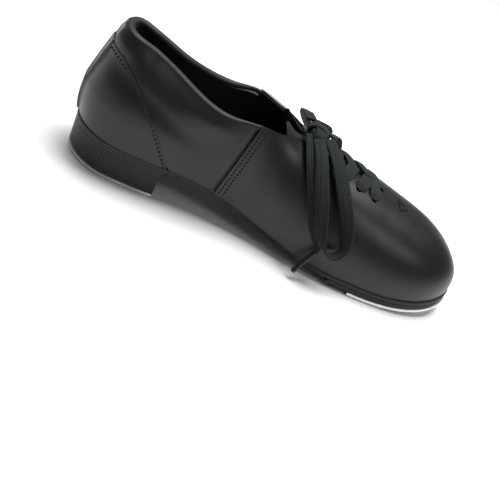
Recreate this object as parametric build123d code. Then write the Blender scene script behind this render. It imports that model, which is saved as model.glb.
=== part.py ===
from build123d import *
import os
from math import cos, pi, sin, sqrt

# A left tap shoe: a leather oxford with a split vamp, a laced bow, and screwed toe and heel taps.
# Lengths are in millimetres. X runs from the back of the heel to the toe, +Y is the outer side of
# the foot, and Z is up from the floor. Every layer of the upper is a depth below its outer surface.

# Last: the closed outer surface of the upper
shoe_length = 275.0
heel_half_width = 31.0
waist_inner, waist_outer = 26.0, 36.0
ball_inner, ball_outer = 42.0, 50.0
waist_x, ball_inner_x, ball_outer_x = 98.0, 190.0, 176.0
seat_end_x, ball_start_x = 60.0, 178.0
toe_spring_x, toe_spring = 205.0, 7.5
heel_bulge_height, heel_setback, heel_lean = 45.0, 3.5, 0.13
collar_narrowing = 0.25
cone_rise = 18.5
toe_round_x = 225.0

# Openings, seams and lace holes
heel_top, side_low, seam_top = 87.0, 69.5, 71.5
low_x = 84.0
seam_top_x, seam_bottom_x = 103.0, 95.0
throat_x, throat_height = 133.0, 70.0
instep_slope = 0.20
slit_end_x, slit_width, slit_hole_radius = 196.0, 2.2, 2.4
panel_seam_top, panel_seam_x = 73.0, 66.0
lace_row_gap, lace_rows = 12.6, 4
first_row_setback, lace_hole_y, lace_hole_radius = 6.0, 17.0, 2.0

# Thicknesses of the upper, from the outside in
leather, stiffener, collar_foam, lining = 1.4, 0.8, 3.0, 0.8
binding_height = 1.6
counter_height, counter_end_x = 58.0, 66.0
puff_start_x = 240.0
backing_margin = 9.0
tongue_thickness, tongue_half_width, tongue_start_x = 2.0, 20.0, 131.0

# Thicknesses below the foot
board, sock = 2.0, 3.0
lasting_margin = 14.0
shank_width, shank_start_x, shank_end_x = 12.0, 38.0, 150.0
sole, edge_reach = 2.8, 0.8
waist_trim = 4.0
toe_board, tap, heel_lift = 3.0, 2.2, 3.0
heel_block_height = 15.5
heel_breast_x, heel_undercut = 62.0, 2.5
toe_board_x, toe_tap_x = 184.0, 200.0
tap_overhang = 0.6

# Fasteners
screw_head_radius, screw_radius = 3.2, 1.5
toe_screw_length, heel_screw_length = 6.8, 14.0
nail_head_radius, nail_radius, nail_length = 2.6, 1.1, 16.0
nail_sink = 0.05

# Laces
lace_width, lace_thickness = 8.5, 1.8
cord_radius, aglet_radius, aglet_length = 1.6, 1.7, 18.0

ball_bottom = tap + toe_board + sole
seat_height = tap + heel_lift + heel_block_height + sole
wall = leather + collar_foam + lining
vamp_wall = leather + stiffener + lining
station_count = 26
reach = 90.0


def ease(value, start, end):
    """A smooth step from 0 at start to 1 at end."""
    share = min(max((value - start) / (end - start), 0.0), 1.0)
    return share * share * (3 - 2 * share)


def rounding(share, power, root):
    """Closes an end: 1 where share is 0, falling to 0 where share is 1."""
    return (1 - min(max(share, 0.0), 1.0) ** power) ** root


def bottom(x):
    """Height of the upper's underside: heel seat, waist slope, ball, then toe spring."""
    spring = toe_spring * (max(x - toe_spring_x, 0.0) / (shoe_length - toe_spring_x)) ** 2
    return seat_height + (ball_bottom - seat_height) * ease(x, seat_end_x, ball_start_x) + spring


def half_width(x, side):
    """Half width on the inner side (-1) or the outer side (+1)."""
    if side < 0:
        waist, ball, ball_x, taper_x = waist_inner, ball_inner, ball_inner_x, ball_inner_x + 10
    else:
        waist, ball, ball_x, taper_x = waist_outer, ball_outer, ball_outer_x, ball_outer_x + 4
    width = heel_half_width + (waist - heel_half_width) * ease(x, waist_x - 50, waist_x)
    width += (ball - waist) * ease(x, waist_x, ball_x)
    heel_round = rounding((34 - x) / 34, 2.3, 0.5)
    toe_round = rounding((x - taper_x) / (shoe_length - taper_x), 2.6, 0.55)
    return width * heel_round * toe_round


def height(x):
    """Height of the closed surface above its underside, along the ridge."""
    ridge = throat_height - instep_slope * (x - throat_x)
    ridge += cone_rise * min(max((throat_x + 4 - x) / 30, 0.0), 1.25) ** 2
    toe_round = rounding((x - toe_round_x) / (shoe_length - toe_round_x), 3, 0.42)
    heel_round = rounding((16 - x) / 16, 2.5, 0.5)
    return (ridge - bottom(x)) * toe_round * heel_round


def back_shift(x, z):
    """How far a point near the heel stands in from the heel's bulge, above it and below it."""
    above_bulge = max(z - heel_bulge_height, 0.0)
    below_bulge = max(heel_bulge_height - max(z, seat_height), 0.0)
    inward = heel_lean * above_bulge + heel_setback * (below_bulge / (heel_bulge_height - seat_height)) ** 2
    return inward * (1 - ease(x, 0, 65))


def collar_share(x, z):
    """Share of the width that the heel region keeps as it closes in towards the mouth."""
    return 1 - collar_narrowing * ease(z, 40, 86) * (1 - ease(x, 45, 105))


def inset(value, depth):
    return max(value - depth, 0.35 * value)


# Stations along the last, closer together towards the rounded heel and toe
stations = [
    0.5 + (shoe_length - 1) * (0.5 - 0.5 * cos(pi * step / station_count)) for step in range(station_count + 1)
]


def last(depth):
    """The closed surface, moved in by depth, with straight sides that run on below its underside."""
    sections = []
    for station in stations:
        closing = station == stations[0]
        x = shoe_length / 2 + (station - shoe_length / 2) * (1 - 2 * depth / shoe_length)
        inner = inset(half_width(station, -1), depth)
        outer = inset(half_width(station, 1), depth)
        rise = inset(height(station), depth)

        def point(y, z):
            if closing:
                return Vector(x, y, heel_bulge_height + (z - heel_bulge_height) * 0.4)
            return Vector(x + back_shift(station, z), y * collar_share(station, z), z)

        arch = []
        for step in range(13):
            angle = pi * step / 12
            swell = 1.4 * abs(sin(2 * angle) * cos(angle)) * min(1.0, inner / 20)
            side = outer if cos(angle) > 0 else inner
            y = side * abs(cos(angle)) ** 0.75 + swell
            arch.append(point(y if cos(angle) > 0 else -y, bottom(station) + rise * sin(angle)))
        low = bottom(station) - 9
        edges = [
            Edge.make_spline(arch),
            Edge.make_line(arch[-1], point(-inner, low)),
            Edge.make_line(point(-inner, low), point(outer, low)),
            Edge.make_line(point(outer, low), arch[0]),
        ]
        sections.append(Wire(edges))
    return Solid.make_loft(sections, ruled=True)


lasts, shells = {}, {}


def inside(depth):
    key = round(depth, 3)
    if key not in lasts:
        lasts[key] = last(depth)
    return lasts[key]


def shell(outer_depth, inner_depth):
    key = (round(outer_depth, 3), round(inner_depth, 3))
    if key not in shells:
        shells[key] = inside(outer_depth) - inside(inner_depth)
    return shells[key]


def side_prism(edges):
    """A side-view outline (X, Z), run right across the shoe."""
    return extrude(Face(Wire(edges)), amount=reach, dir=(0, 1, 0), both=True)


def side_line(points):
    return Edge.make_spline([Vector(x, 0, z) for x, z in points])


def side_path(points):
    corners = [Vector(x, 0, z) for x, z in points]
    return [Edge.make_line(start, end) for start, end in zip(corners, corners[1:])]


def band(low, high):
    """The layer between two distances from the upper's underside."""
    count = 24
    overrun = 12.0
    xs = [-overrun + (shoe_length + 2 * overrun) * step / count for step in range(count + 1)]
    lower = [(x, bottom(x) + low) for x in xs]
    upper = [(x, bottom(x) + high) for x in xs]
    ends = side_path([lower[-1], upper[-1]]) + side_path([upper[0], lower[0]])
    return side_prism([side_line(lower), ends[0], side_line(upper[::-1]), ends[1]])


def waist_share(x):
    """1 between the heel's breast and the toe board, where the sole is trimmed close, 0 elsewhere."""
    return ease(x, heel_breast_x, heel_breast_x + 20) * (1 - ease(x, toe_board_x - 36, toe_board_x - 10))


def outline(grow, start_x=0.0, end_x=shoe_length, trim=0.0):
    """Plan-view outline of the upper's underside, grown by a margin and cut off square."""
    first = max(start_x, 0.6)
    final = min(end_x, shoe_length - 0.6)
    xs = [x for x in stations if first < x < final]
    xs = [first] + xs + [final]
    centre = shoe_length / 2
    scale = 1 + 2 * grow / shoe_length
    inner, outer = [], []
    for x in xs:
        moved = centre + (x - centre) * scale + back_shift(x, seat_height)
        if x == start_x or x == end_x:
            moved = x
        margin = grow - trim * waist_share(x)
        inner.append(Vector(moved, -inset(half_width(x, -1), -margin), 0))
        outer.append(Vector(moved, inset(half_width(x, 1), -margin), 0))
    edges = [
        Edge.make_spline(inner),
        Edge.make_line(inner[-1], outer[-1]),
        Edge.make_spline(outer[::-1]),
        Edge.make_line(outer[0], inner[0]),
    ]
    return Face(Wire(edges))


def plate(low, high, grow, start_x=0.0, end_x=shoe_length, trim=0.0):
    """A layer of the bottom, between two heights, inside a grown outline."""
    prism = extrude(outline(grow, start_x, end_x, trim), amount=reach, dir=(0, 0, 1))
    return prism & band(low, high)


def surface_side(x, z, side):
    """Distance from the centre line to the closed surface at a height."""
    climb = min(max((z - bottom(x)) / height(x), 0.0), 1.0)
    return half_width(x, side) * sqrt(1 - climb * climb) ** 0.75 * collar_share(x, z)


def box(x0, x1, y0, y1, z0, z1):
    corner = Location(((x0 + x1) / 2, (y0 + y1) / 2, (z0 + z1) / 2))
    return corner * Box(x1 - x0, y1 - y0, z1 - z0)


def cylinder(x, y, z0, z1, radius):
    return Location((x, y, (z0 + z1) / 2)) * Cylinder(radius, z1 - z0)


def above(offset):
    """Everything higher than a distance above the upper's underside."""
    return band(offset, 150.0)


def top_line(x):
    """Height of the shoe's mouth along its sides."""
    fall = (side_low - heel_top) * ease(x, 8, low_x)
    rise = (seam_top - side_low) * ease(x, low_x, seam_top_x)
    instep = (throat_height - seam_top) * ease(x, seam_top_x, throat_x)
    return heel_top + fall + rise + instep


def mouth(drop):
    """The space over the mouth, down to a distance below its line."""
    xs = [-15, 4, 14, 24, 34, 46, 60, 76, 92, seam_top_x, (seam_top_x + throat_x) / 2, throat_x]
    line = [(x, top_line(x) - drop) for x in xs]
    lid = side_path([line[-1], (throat_x, 170), (-15, 170), line[0]])
    return side_prism([side_line(line)] + lid)


def throat_cut():
    """The V between the two wings of the vamp, from the quarters down to the head of the slit."""
    inner = surface_side(seam_top_x, seam_top, -1)
    outer = surface_side(seam_top_x, seam_top, 1)
    half = slit_width / 2
    bend_x = (seam_top_x + throat_x) / 2 + 2
    corners = [
        (seam_top_x - 0.5, -inner),
        (bend_x, -inner * 0.56),
        (throat_x, -half),
        (throat_x, half),
        (bend_x, outer * 0.56),
        (seam_top_x - 0.5, outer),
    ]
    face = Face(Wire.make_polygon([Vector(x, y, 40) for x, y in corners], close=True))
    return extrude(face, amount=130, dir=(0, 0, 1))


def behind(top_x, top_z, bow, bottom_x):
    """Everything to the heel side of a seam that runs from the mouth down to the sole."""
    seam = side_line([(top_x, top_z), ((top_x + bottom_x) / 2 + bow, top_z / 2 + 8), (bottom_x, 0)])
    rest = side_path([(bottom_x, 0), (-30, 0), (-30, 160), (top_x, 160), (top_x, top_z)])
    return side_prism([seam] + rest)


lace_rows_x = [slit_end_x - first_row_setback - lace_row_gap * row for row in range(lace_rows)]


def lace_holes(radius, low, high):
    holes = [cylinder(x, side * lace_hole_y, low, high, radius) for x in lace_rows_x for side in (-1, 1)]
    return Compound(children=holes)


# Cutters shared by the upper's layers
mouth_space = mouth(0)
below_binding = mouth(binding_height)
throat_space = throat_cut()
quarters_side = behind(seam_top_x, seam_top, 0.5, seam_bottom_x)
panel_side = side_prism(
    [side_line([(-30, panel_seam_top + 6), (13, panel_seam_top), (40, 52), (panel_seam_x, 12)])]
    + side_path([(panel_seam_x, 12), (panel_seam_x, -10), (-30, -10), (-30, panel_seam_top + 6)])
)
slit = box(throat_x - 1, slit_end_x, -slit_width / 2, slit_width / 2, 20, 110)
slit += cylinder(slit_end_x, 0, 20, 110, slit_hole_radius)
eyelets = lace_holes(lace_hole_radius, 30, 110)
over_board = above(leather + board)


def half_space(side):
    return box(-30, 320, min(0, side * 95), max(0, side * 95), -20, 170)


# Upper: outside leather, with its edge turned under the foot
skin = (shell(0, leather) & above(0)) + (plate(0, leather, -leather / 2) - plate(-1, 9, -lasting_margin))
skin = skin - throat_space - mouth_space
vamp = skin - quarters_side - slit - eyelets
quarters = (skin & quarters_side) - below_binding
back_panel = quarters & panel_side
quarters = quarters - panel_side
quarter_inner = quarters & half_space(-1)
quarter_outer = quarters & half_space(1)

# Upper: layers behind the leather
stiff_layer = shell(leather, leather + stiffener)
padded = (shell(leather, leather + collar_foam) & quarters_side & over_board) - below_binding
counter_zone = side_prism(
    [side_line([(-20, counter_height), (30, counter_height - 4), (counter_end_x, 20)])]
    + side_path([(counter_end_x, 20), (counter_end_x, 0), (-20, 0), (-20, counter_height)])
)
heel_counter = padded & counter_zone & stiff_layer
collar_padding = padded - counter_zone
collar_padding += padded & counter_zone & inside(leather + stiffener)
quarter_lining = (shell(leather + collar_foam, wall) & quarters_side & over_board) - below_binding
topline_binding = (shell(0, wall) & quarters_side & below_binding) - mouth_space
topline_binding = topline_binding - box(seam_top_x, 320, -90, 90, 0, 170)

front = (over_board - quarters_side) - throat_space - mouth_space - slit - eyelets
toe_puff = stiff_layer & over_board & box(puff_start_x, 320, -90, 90, -10, 120)
backing_zone = box(
    throat_x - 12,
    slit_end_x + backing_margin,
    -lace_hole_y - backing_margin,
    lace_hole_y + backing_margin,
    30,
    120,
)
eyelet_backing = stiff_layer & front & backing_zone
vamp_lining = shell(leather + stiffener, vamp_wall) & front

# Tongue, under the lining and lapped by it on both sides of the slit
tongue_end_x = slit_end_x + backing_margin
tongue = shell(vamp_wall + lace_thickness + 0.3, vamp_wall + lace_thickness + 0.3 + tongue_thickness)
tongue = tongue & box(tongue_start_x, tongue_end_x, -tongue_half_width, tongue_half_width, 30, 120)

# Bottom: fasteners first, because the layers they hold are bored to fit them


def screw(x, y, underside, length):
    """A countersunk wood screw, driven upwards, with its head flush in a tap."""
    head_height = screw_head_radius - screw_radius
    head = Cone(screw_head_radius, screw_radius, head_height, align=(Align.CENTER, Align.CENTER, Align.MIN))
    shaft = Cylinder(screw_radius, length, align=(Align.CENTER, Align.CENTER, Align.MIN))
    return Location((x, y, underside)) * (head + shaft)


def drive(x, y, underside):
    """The cross recess in a screw's head."""
    return Location((x, y, underside)) * (Box(2.8, 0.7, 1.6) + Box(0.7, 2.8, 1.6))


def nail(x, y, head_z):
    """A clout nail, driven down through the insole board into the heel block."""
    head = Cylinder(nail_head_radius, 0.9, align=(Align.CENTER, Align.CENTER, Align.MAX))
    shaft = Cylinder(nail_radius, nail_length, align=(Align.CENTER, Align.CENTER, Align.MAX))
    return Location((x, y, head_z)) * (head + shaft)


toe_screw_places = [(toe_tap_x + 9, -25), (toe_tap_x + 9, 30), (shoe_length - 17, 0)]
heel_screw_places = [(12, 0), (heel_breast_x - 14, -18), (heel_breast_x - 14, 18)]
nail_places = [(23, 0), (30, -9), (30, 9), (45, -9), (45, 9)]
toe_screws = [screw(x, y, bottom(x) - ball_bottom + 0.02, toe_screw_length) for x, y in toe_screw_places]
heel_screws = [screw(x, y, 0, heel_screw_length) for x, y in heel_screw_places]
nails = [nail(x, y, seat_height + leather + board - nail_sink) for x, y in nail_places]

insole_board = plate(leather, leather + board, 0) & inside(leather)
sock_liner = plate(leather + board, leather + board + sock, 0) & inside(wall)
filler_layer = plate(0, leather, -lasting_margin)
shank = filler_layer & box(shank_start_x, shank_end_x, -shank_width / 2, shank_width / 2, -5, 60)
bottom_filler = filler_layer - shank
outsole = plate(-sole, 0, edge_reach, trim=waist_trim)
toe_board_piece = plate(-sole - toe_board, -sole, edge_reach, toe_board_x)
toe_tap_piece = plate(-ball_bottom, -sole - toe_board, edge_reach + tap_overhang, toe_tap_x)


def heel_layer(low, high):
    """A slice of the heel: the seat's outline, undercut at the back and square at the breast."""
    reach_low = edge_reach - heel_undercut * (1 - low / seat_height)
    reach_high = edge_reach - heel_undercut * (1 - high / seat_height)
    lower = Location((0, 0, low)) * outline(reach_low, 0, heel_breast_x)
    upper = Location((0, 0, high)) * outline(reach_high, 0, heel_breast_x)
    return loft([lower, upper])


block_top = seat_height - sole
heel_tap_piece = heel_layer(0, tap)
heel_lift_piece = heel_layer(tap, tap + heel_lift)
heel_block = heel_layer(tap + heel_lift, block_top) - band(-sole, 60)
for fastener in heel_screws:
    heel_tap_piece -= fastener
    heel_lift_piece -= fastener
    heel_block -= fastener
for fastener in nails:
    insole_board -= fastener
    bottom_filler -= fastener
    shank -= fastener
    outsole -= fastener
    heel_block -= fastener
for fastener in toe_screws:
    toe_tap_piece -= fastener
    toe_board_piece -= fastener
    outsole -= fastener
toe_tap_screws = [
    body - drive(x, y, bottom(x) - ball_bottom)
    for body, (x, y) in zip(toe_screws, toe_screw_places)
]
heel_tap_screws = [body - drive(x, y, 0) for body, (x, y) in zip(heel_screws, heel_screw_places)]

# Laces: the threaded part lies on the vamp, passes its holes and slit, and runs on under the flaps
under_depth = vamp_wall + lace_thickness
lace_over = shell(-lace_thickness, 0)
lace_under = shell(vamp_wall, under_depth)
lace_through = shell(-lace_thickness, under_depth)
slit_step = 8.0


def strip(start, end):
    """A straight plan-view strip of lace with round ends."""
    run = Vector(end[0] - start[0], end[1] - start[1], 0)
    middle = Location(((start[0] + end[0]) / 2, (start[1] + end[1]) / 2, 30), (0, 0, run.get_angle(Vector(1, 0, 0))))
    if run.Y < 0:
        middle = Location(middle.position, (0, 0, -run.get_angle(Vector(1, 0, 0))))
    return middle * extrude(SlotCenterToCenter(run.length, lace_width), amount=90)


over_strips = [strip((lace_rows_x[0], -lace_hole_y), (lace_rows_x[0], lace_hole_y))]
under_strips, passes = [], []
for row, row_x in enumerate(lace_rows_x):
    next_slit_x = row_x - lace_row_gap + slit_step
    passes.append(box(next_slit_x - 2.5, next_slit_x + 2.5, -0.8, 0.8, 30, 110))
    for side in (-1, 1):
        under_strips.append(strip((row_x, side * lace_hole_y), (next_slit_x, side * 1.0)))
        if row:
            over_strips.append(strip((row_x + slit_step, -side * 1.0), (row_x, side * lace_hole_y)))
lacing = Part() + [lace_over & piece for piece in over_strips]
lacing += [lace_under & piece for piece in under_strips]
lacing += [lace_through & piece for piece in passes]
lacing += [lace_through & piece for piece in lace_holes(lace_hole_radius - 0.3, 30, 110)]

# Bow: the knot, and two loops and two ends that hang from it over the vamp
knot_x, knot_y = 141.0, 1.0
knot_length, knot_width, knot_height = 15.0, 19.0, 9.0
knot_z = throat_height - instep_slope * (knot_x - throat_x) + knot_height / 2 + 1.0
knot = fillet(Box(knot_length, knot_width, knot_height).edges(), 3.2)
knot = Location((knot_x, knot_y, knot_z), (0, 11.0, 0)) * knot


def cord(points):
    """A tube along straight runs joined by arcs, each as large as its two runs allow."""
    places = [Vector(*point) for point in points]
    radii = []
    for before, corner, after in zip(places, places[1:], places[2:]):
        half_turn = (corner - before).get_angle(after - corner) * pi / 360
        shorter = min((corner - before).length, (after - corner).length)
        radii.append(0.45 * shorter * cos(half_turn) / sin(half_turn))
    path = FilletPolyline(*places, radius=radii)
    return sweep(Plane(origin=path @ 0, z_dir=path % 0) * Circle(cord_radius), path=path)


def aglet(points):
    """The hard tip of a lace, straight on from where its cord stops."""
    end = Vector(*points[-1])
    return Plane(origin=end, z_dir=end - Vector(*points[-2])) * Cylinder(
        aglet_radius, aglet_length, align=(Align.CENTER, Align.CENTER, Align.MIN)
    )


loop_inner_route = [
    (140, -6, 75), (144, -16, 71.5), (150, -29, 59.5), (158, -39.5, 44), (164, -44, 31),
    (170, -46.5, 24), (177, -47.5, 23.5), (181, -46.5, 29.5), (179, -43, 39), (173, -38, 49),
    (166.5, -31, 57.5), (160, -20, 66), (153.5, -9, 71.5), (149, -3, 74),
]
end_inner_route = [
    (136, -7, 74), (138.5, -16, 69), (145.5, -27.5, 57.5), (153, -35.5, 43.5), (160.5, -40, 31),
    (167.5, -43, 22.5), (166, -44.2, 19.5),
]
loop_outer_route = [
    (136, 9, 76), (134, 20, 76), (136, 33, 70), (142, 46, 60), (150, 58, 48), (158, 64, 39),
    (164, 62, 41), (162, 53, 50), (158, 41, 61), (151, 28, 69.5), (143, 10, 76.5),
]
end_outer_route = [(149, 6, 73), (155.5, 17, 69.5), (162, 29, 64.5), (168, 41, 56), (174, 51, 44), (180, 58, 33)]
loop_inner = cord(loop_inner_route)
end_inner = cord(end_inner_route)
loop_outer = cord(loop_outer_route)
end_outer = cord(end_outer_route)
aglet_inner = aglet(end_inner_route)
aglet_outer = aglet(end_outer_route)

# Nodes, and the origin: the middle of the shoe's box on the floor, its bow left out
shoe = {
    "vamp": vamp,
    "quarter_inner": quarter_inner,
    "quarter_outer": quarter_outer,
    "back_panel": back_panel,
    "topline_binding": topline_binding,
    "collar_padding": collar_padding,
    "quarter_lining": quarter_lining,
    "heel_counter": heel_counter,
    "vamp_lining": vamp_lining,
    "eyelet_backing": eyelet_backing,
    "toe_puff": toe_puff,
    "tongue": tongue,
    "sock_liner": sock_liner,
    "insole_board": insole_board,
    "bottom_filler": bottom_filler,
    "shank": shank,
    "outsole": outsole,
    "heel_block": heel_block,
    "heel_lift": heel_lift_piece,
    "heel_tap": heel_tap_piece,
    "heel_tap_screws": Compound(children=heel_tap_screws),
    "heel_nails": Compound(children=nails),
    "toe_board": toe_board_piece,
    "toe_tap": toe_tap_piece,
    "toe_tap_screws": Compound(children=toe_tap_screws),
    "lacing": lacing,
    "lace_knot": knot,
}
bow = {
    "lace_loop_inner": loop_inner,
    "lace_loop_outer": loop_outer,
    "lace_end_inner": end_inner,
    "lace_end_outer": end_outer,
    "aglet_inner": aglet_inner,
    "aglet_outer": aglet_outer,
}
boxes = [piece.bounding_box() for piece in shoe.values()]
middle_x = (min(b.min.X for b in boxes) + max(b.max.X for b in boxes)) / 2
middle_y = (min(b.min.Y for b in boxes) + max(b.max.Y for b in boxes)) / 2
shift = Location((-middle_x, -middle_y, -min(b.min.Z for b in boxes)))
os.makedirs("parts", exist_ok=True)
for name, piece in {**shoe, **bow}.items():
    export_step(shift * piece, f"parts/{name}.step")
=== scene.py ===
"""The looks of a left tap shoe: leather upper, woven laces, stacked heel and metal taps."""

import bmesh
import bpy
import numpy as np
from mathutils import Matrix, Vector


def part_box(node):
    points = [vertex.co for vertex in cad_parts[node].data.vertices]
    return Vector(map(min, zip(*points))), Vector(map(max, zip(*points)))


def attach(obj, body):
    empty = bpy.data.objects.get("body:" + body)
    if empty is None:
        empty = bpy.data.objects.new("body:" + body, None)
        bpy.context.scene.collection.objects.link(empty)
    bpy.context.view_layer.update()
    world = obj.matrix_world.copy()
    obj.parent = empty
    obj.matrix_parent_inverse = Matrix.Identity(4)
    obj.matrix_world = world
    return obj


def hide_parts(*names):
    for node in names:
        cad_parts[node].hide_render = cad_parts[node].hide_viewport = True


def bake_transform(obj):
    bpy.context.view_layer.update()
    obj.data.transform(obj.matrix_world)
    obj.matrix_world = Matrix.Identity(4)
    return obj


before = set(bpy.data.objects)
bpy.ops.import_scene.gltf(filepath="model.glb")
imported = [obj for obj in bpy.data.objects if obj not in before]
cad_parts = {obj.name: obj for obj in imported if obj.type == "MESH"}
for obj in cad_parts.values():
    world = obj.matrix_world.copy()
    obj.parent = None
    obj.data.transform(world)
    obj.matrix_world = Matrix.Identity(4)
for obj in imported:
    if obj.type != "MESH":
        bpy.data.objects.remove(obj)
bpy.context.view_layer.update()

# ---------------------------------------------------------------- the last
# The upper's closed outer surface, in millimetres from the back of the heel, as the CAD has it.
MM = 0.001
LENGTH = 275.0
HEEL_WIDTH, WAIST_X = 31.0, 98.0
WAIST = {-1: 26.0, 1: 36.0}
BALL = {-1: 42.0, 1: 50.0}
BALL_X = {-1: 190.0, 1: 176.0}
TAPER_X = {-1: 200.0, 1: 180.0}
SEAT_Z, BALL_Z, BULGE_Z = 23.5, 8.0, 45.0
SEAT_END, BALL_START = 60.0, 178.0
SPRING_X, SPRING = 205.0, 7.5
SETBACK, LEAN, NARROWING = 3.5, 0.13, 0.25
CONE_RISE, TOE_ROUND_X = 18.5, 225.0
HEEL_TOP, SIDE_LOW, SEAM_TOP, LOW_X = 87.0, 69.5, 71.5, 84.0
SEAM_TOP_X, SEAM_BOTTOM_X = 103.0, 95.0
THROAT_X, THROAT_Z, INSTEP_SLOPE = 133.0, 70.0, 0.20
SLIT_END_X, SLIT_HALF, SLIT_HOLE = 196.0, 1.1, 2.4
LEATHER, FOAM, LINING, STIFFENER = 1.4, 3.0, 0.8, 0.8
WALL, VAMP_WALL = LEATHER + FOAM + LINING, LEATHER + STIFFENER + LINING
BOARD, SOCK, SOLE, TOE_BOARD, TAP, HEEL_LIFT = 2.0, 3.0, 2.8, 3.0, 2.2, 3.0
LACE_WIDTH, LACE_THICKNESS = 8.5, 1.8
ROW_GAP, FIRST_SETBACK, HOLE_Y = 12.6, 6.0, 17.0
BREAST_X = 62.0
SHOULDER = 0.75  # the power that rounds each cross-section
MOUTH_Z = 80.0  # the height at which the heel's lean is taken for the mouth
# The back panel's edge from the back seam to the sole, as station and height
PANEL_EDGE = (
    (0, 73.4), (8, 73.2), (14, 72), (21, 68), (29, 62), (35, 57),
    (40, 52), (46, 45.5), (54, 35.5), (61.5, 25.5), (66, 21),
)
COLLAR_LEAN = 5.0
SEAM_LIFT, PANEL_LIFT = 0.75, 0.55  # how far the vamp and the back panel stand on the quarters
SOLE_EDGE, WAIST_TRIM = 0.8, 4.0  # the sole past the upper, and what its waist loses
SIDES = (-1, 1)
ROW_PLACES = [SLIT_END_X - FIRST_SETBACK - ROW_GAP * row for row in range(4)]

# Where the last stands in the frame: its toe ends at the vamp, its middle is the heel screws'
ORIGIN = np.array([
    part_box("vamp")[1].x - (LENGTH - 0.5) * MM,
    (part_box("heel_tap_screws")[0].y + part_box("heel_tap_screws")[1].y) / 2,
    0.0,
])


def ease(value, start, end):
    share = np.clip((value - start) / (end - start), 0, 1)
    return share * share * (3 - 2 * share)


def rounding(share, power, root):
    return (1 - np.clip(share, 0, 1) ** power) ** root


def unit(vectors):
    return vectors / np.linalg.norm(vectors, axis=-1, keepdims=True)


def smoothed(values):
    """Each value's mean with its four neighbours on each side."""
    return np.convolve(np.pad(values, 4, "edge"), np.ones(9) / 9, "valid")


def bottom(x):
    spring = SPRING * (np.maximum(x - SPRING_X, 0) / (LENGTH - SPRING_X)) ** 2
    return SEAT_Z + (BALL_Z - SEAT_Z) * ease(x, SEAT_END, BALL_START) + spring


def half_width(x, side):
    width = HEEL_WIDTH + (WAIST[side] - HEEL_WIDTH) * ease(x, WAIST_X - 50, WAIST_X)
    width = width + (BALL[side] - WAIST[side]) * ease(x, WAIST_X, BALL_X[side])
    taper = (x - TAPER_X[side]) / (LENGTH - TAPER_X[side])
    return width * rounding((34 - x) / 34, 2.3, 0.5) * rounding(taper, 2.6, 0.55)


def height(x):
    ridge = THROAT_Z - INSTEP_SLOPE * (x - THROAT_X)
    ridge = ridge + CONE_RISE * np.clip((THROAT_X + 4 - x) / 30, 0, 1.25) ** 2
    toe = rounding((x - TOE_ROUND_X) / (LENGTH - TOE_ROUND_X), 3, 0.42)
    return (ridge - bottom(x)) * toe * rounding((16 - x) / 16, 2.5, 0.5)


def back_shift(x, z):
    above = np.maximum(z - BULGE_Z, 0)
    below = np.maximum(BULGE_Z - np.maximum(z, SEAT_Z), 0)
    return (LEAN * above + SETBACK * (below / (BULGE_Z - SEAT_Z)) ** 2) * (1 - ease(x, 0, 65))


def top_line(x):
    fall = (SIDE_LOW - HEEL_TOP) * ease(x, 8, LOW_X)
    rise = (SEAM_TOP - SIDE_LOW) * ease(x, LOW_X, SEAM_TOP_X)
    return HEEL_TOP + fall + rise + (THROAT_Z - SEAM_TOP) * ease(x, SEAM_TOP_X, THROAT_X)


def mouth_height(x):
    """The mouth's height where the heel's lean has carried a station to."""
    return top_line(x + back_shift(x, MOUTH_Z))


def surface(x, angle, side):
    """A point of the closed surface: angle 0 is the edge of the sole, pi/2 the ridge."""
    x, angle = np.broadcast_arrays(np.asarray(x, float), np.asarray(angle, float))
    width = half_width(x, side)
    swell = 1.4 * np.abs(np.sin(2 * angle) * np.cos(angle)) * np.minimum(1, width / 20)
    z = bottom(x) + height(x) * np.sin(angle)
    narrow = 1 - NARROWING * ease(z, 40, 86) * (1 - ease(x, 45, 105))
    y = side * (width * np.abs(np.cos(angle)) ** SHOULDER + swell) * narrow
    return np.stack([x + back_shift(x, z), y, z], -1)


def normals(x, angle, side, step=0.02):
    """Outward directions of the surface, from small steps along it."""
    x, angle = np.broadcast_arrays(np.asarray(x, float), np.asarray(angle, float))
    reach, end = 0.4, 0.05
    low, high = np.clip([x - reach, x + reach], end, LENGTH - end)
    along = surface(high, angle, side) - surface(low, angle, side)
    turn = np.clip(angle, step, np.pi / 2 - step)
    around = surface(x, turn + step, side) - surface(x, turn - step, side)
    out = np.cross(around, along) * side
    out[..., 1] *= angle < np.pi / 2 - 1e-7
    return out / np.maximum(np.linalg.norm(out, axis=-1, keepdims=True), 1e-9)


def edge_angle(x, side):
    """The angle at which the upper stops: its mouth, the V of the throat, or the slit."""
    x = np.asarray(x, float)
    width = np.maximum(half_width(x, side), 1e-6)
    tall = np.maximum(height(x), 1e-6)
    mouth = np.arcsin(np.clip((mouth_height(x) - bottom(x)) / tall, 0, 1))
    seam_y = half_width(SEAM_TOP_X, side) * np.sqrt(
        1 - ((SEAM_TOP - bottom(SEAM_TOP_X)) / height(SEAM_TOP_X)) ** 2
    ) ** SHOULDER
    share = np.clip((THROAT_X - x) / (THROAT_X - SEAM_TOP_X), 0, 1)
    gap = SLIT_HALF + (seam_y - SLIT_HALF) * share ** 0.7
    hole = np.sqrt(np.maximum(SLIT_HOLE**2 - (x - SLIT_END_X) ** 2, 0))
    gap = np.where(x > SLIT_END_X, 0, gap)
    gap = np.maximum(gap, hole)
    slot = np.arccos(np.clip(gap / width, 0, 1) ** (1 / SHOULDER))
    in_mouth = np.where(x < THROAT_X, mouth, np.pi / 2)
    in_slot = np.where(x < SEAM_TOP_X - 0.01, np.pi / 2, slot)
    return np.minimum(in_mouth, in_slot)


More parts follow.
